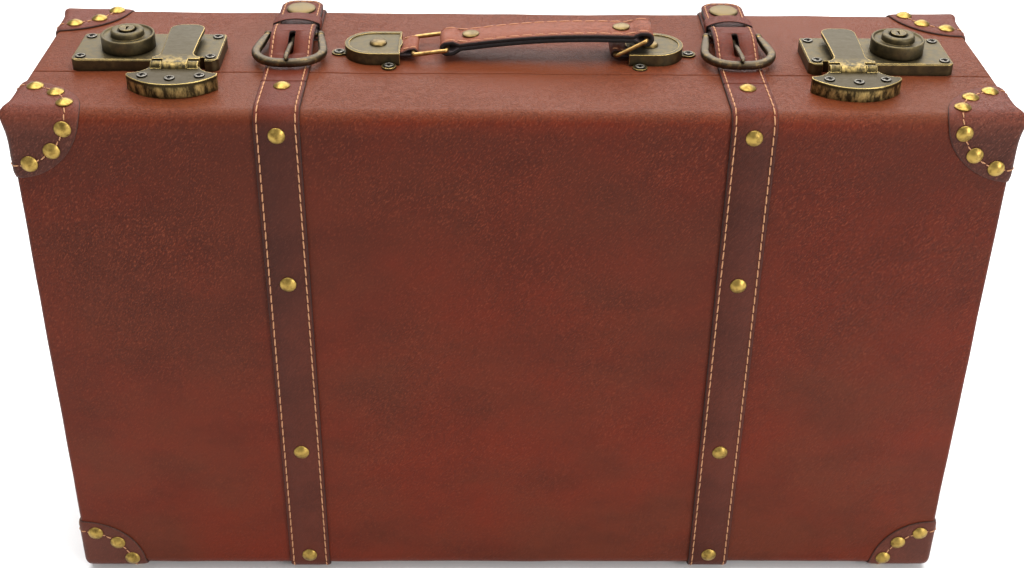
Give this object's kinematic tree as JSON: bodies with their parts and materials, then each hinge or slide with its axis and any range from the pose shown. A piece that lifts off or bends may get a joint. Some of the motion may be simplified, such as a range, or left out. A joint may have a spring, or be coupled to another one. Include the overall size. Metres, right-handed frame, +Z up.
{
  "type": "leather suitcase",
  "caption": "Rigid leather case with a hinged front lid, buckled straps, key locks with hinged hasps, and a leather grip on wire rings.",
  "frame": {"origin": "middle of the footprint, on the surface that the standing case rests on", "axes": "+X along the case to the right as seen from the lid, +Y from the lid to the back, +Z up to the side with the handle"},
  "size_m": [0.548, 0.159, 0.3426],
  "materials": {
    "leather_main": "reddish brown hide, creased, satin",
    "leather_trim": "dark brown harness leather, satin, raw black edges",
    "board": "plain compressed fibreboard",
    "lining": "plain woven cotton",
    "tack_brass": "polished, lightly scuffed",
    "old_brass": "dark patina with bright worn edges",
    "ring_brass": "bright, satin",
    "screw_nickel": "nickel plated, satin",
    "bolt_steel": "plain drawn steel"
  },
  "bodies": {
    "base": {"base_boards": "board", "base_cover": "leather_main", "base_lining": "lining", "base_corners": "leather_trim", "base_corner_tacks": "tack_brass", "base_foot_tacks": "tack_brass", "base_strap_left": "leather_trim", "base_strap_right": "leather_trim", "base_strap_tacks": "tack_brass", "base_press_discs": "old_brass", "lock_case_left": "old_brass", "lock_case_right": "old_brass", "lock_boss_left": "old_brass", "lock_boss_right": "old_brass", "base_screws": "screw_nickel", "handle_cap_left": "old_brass", "handle_cap_right": "old_brass", "handle_cap_rivets": "tack_brass", "handle_loop_left": "leather_trim", "handle_loop_right": "leather_trim", "base_hinge_leaves": "old_brass", "hinge_pins": "bolt_steel"},
    "lid": {"lid_hinge_leaves": "old_brass", "lid_screws": "screw_nickel", "lid_boards": "board", "lid_cover": "leather_main", "lid_lining": "lining", "lid_corners": "leather_trim", "lid_corner_tacks": "tack_brass", "lid_foot_tacks": "tack_brass", "lid_strap_left": "leather_trim", "lid_strap_right": "leather_trim", "lid_strap_tacks": "tack_brass", "hasp_base_left": "old_brass", "hasp_base_right": "old_brass", "hasp_pins": "old_brass"},
    "flap_left": {"tongue_left": "leather_trim", "buckle_chape_left": "leather_trim", "keeper_left": "leather_trim", "tongue_caps_left": "tack_brass"},
    "buckle_left": {"buckle_left": "old_brass"},
    "prong_left": {"prong_left": "old_brass"},
    "hasp_left": {"hasp_lever_left": "old_brass"},
    "plug_left": {"lock_plug_left": "old_brass"},
    "bolt_left": {"lock_bolt_left": "bolt_steel"},
    "flap_right": {"tongue_right": "leather_trim", "buckle_chape_right": "leather_trim", "keeper_right": "leather_trim", "tongue_caps_right": "tack_brass"},
    "buckle_right": {"buckle_right": "old_brass"},
    "prong_right": {"prong_right": "old_brass"},
    "hasp_right": {"hasp_lever_right": "old_brass"},
    "plug_right": {"lock_plug_right": "old_brass"},
    "bolt_right": {"lock_bolt_right": "bolt_steel"},
    "ring_left": {"ring_left": "ring_brass"},
    "grip": {"grip": "leather_trim", "grip_rivets": "tack_brass"},
    "ring_right": {"ring_right": "ring_brass"}
  },
  "joints": [
    {"name": "lid_hinge", "type": "hinge", "parent": "base", "child": "lid", "pos_m": [0, -0.0215, 0.002], "axis": [1, 0, 0], "range_deg": [0, 110]},
    {"name": "flap_fold_left", "type": "hinge", "parent": "lid", "child": "flap_left", "pos_m": [-0.1275, -0.03785, 0.3262], "axis": [1, 0, 0], "range_deg": [0, 100]},
    {"name": "buckle_turn_left", "type": "hinge", "parent": "flap_left", "child": "buckle_left", "pos_m": [-0.1275, 0.0195, 0.3298], "axis": [-1, 0, 0], "range_deg": [0, 8]},
    {"name": "prong_turn_left", "type": "hinge", "parent": "buckle_left", "child": "prong_left", "pos_m": [-0.1275, 0.0195, 0.3298], "axis": [-1, 0, 0], "range_deg": [0, 6]},
    {"name": "hasp_hinge_left", "type": "hinge", "parent": "lid", "child": "hasp_left", "pos_m": [-0.187, -0.033, 0.3322], "axis": [1, 0, 0], "range_deg": [0, 100]},
    {"name": "plug_turn_left", "type": "hinge", "parent": "base", "child": "plug_left", "pos_m": [-0.2185, -0.002, 0.331], "axis": [0, 0, -1], "range_deg": [0, 90]},
    {"name": "bolt_slide_left", "type": "slide", "parent": "base", "child": "bolt_left", "axis": [1, 0, 0], "range_m": [0, 0.00566]},
    {"name": "flap_fold_right", "type": "hinge", "parent": "lid", "child": "flap_right", "pos_m": [0.1275, -0.03785, 0.3262], "axis": [1, 0, 0], "range_deg": [0, 100]},
    {"name": "buckle_turn_right", "type": "hinge", "parent": "flap_right", "child": "buckle_right", "pos_m": [0.1275, 0.0195, 0.3298], "axis": [-1, 0, 0], "range_deg": [0, 8]},
    {"name": "prong_turn_right", "type": "hinge", "parent": "buckle_right", "child": "prong_right", "pos_m": [0.1275, 0.0195, 0.3298], "axis": [-1, 0, 0], "range_deg": [0, 6]},
    {"name": "hasp_hinge_right", "type": "hinge", "parent": "lid", "child": "hasp_right", "pos_m": [0.187, -0.033, 0.3322], "axis": [1, 0, 0], "range_deg": [0, 100]},
    {"name": "plug_turn_right", "type": "hinge", "parent": "base", "child": "plug_right", "pos_m": [0.2185, -0.002, 0.331], "axis": [0, 0, 1], "range_deg": [0, 90]},
    {"name": "bolt_slide_right", "type": "slide", "parent": "base", "child": "bolt_right", "axis": [-1, 0, 0], "range_m": [0, 0.00566]},
    {"name": "ring_left_swing", "type": "hinge", "parent": "base", "child": "ring_left", "pos_m": [-0.0575, 0.006, 0.329], "axis": [0, -1, 0], "range_deg": [0, 79.19]},
    {"name": "grip_swing", "type": "hinge", "parent": "ring_left", "child": "grip", "pos_m": [-0.03819, 0.006, 0.33171], "axis": [0, -1, 0], "range_deg": [-82.46, 0]},
    {"name": "ring_right_swing", "type": "hinge", "parent": "base", "child": "ring_right", "pos_m": [0.0575, 0.006, 0.329], "axis": [0, -1, 0], "range_deg": [0, 64.81]}
  ],
  "couplings": [
    {"joint": "grip_swing", "follows": "ring_left_swing", "ratio": -1.0412},
    {"joint": "ring_right_swing", "follows": "ring_left_swing", "ratio": 0.81832},
    {"joint": "plug_turn_left", "follows": "bolt_slide_left", "rad_per_m": 277.67},
    {"joint": "plug_turn_right", "follows": "bolt_slide_right", "rad_per_m": 277.67}
  ]
}
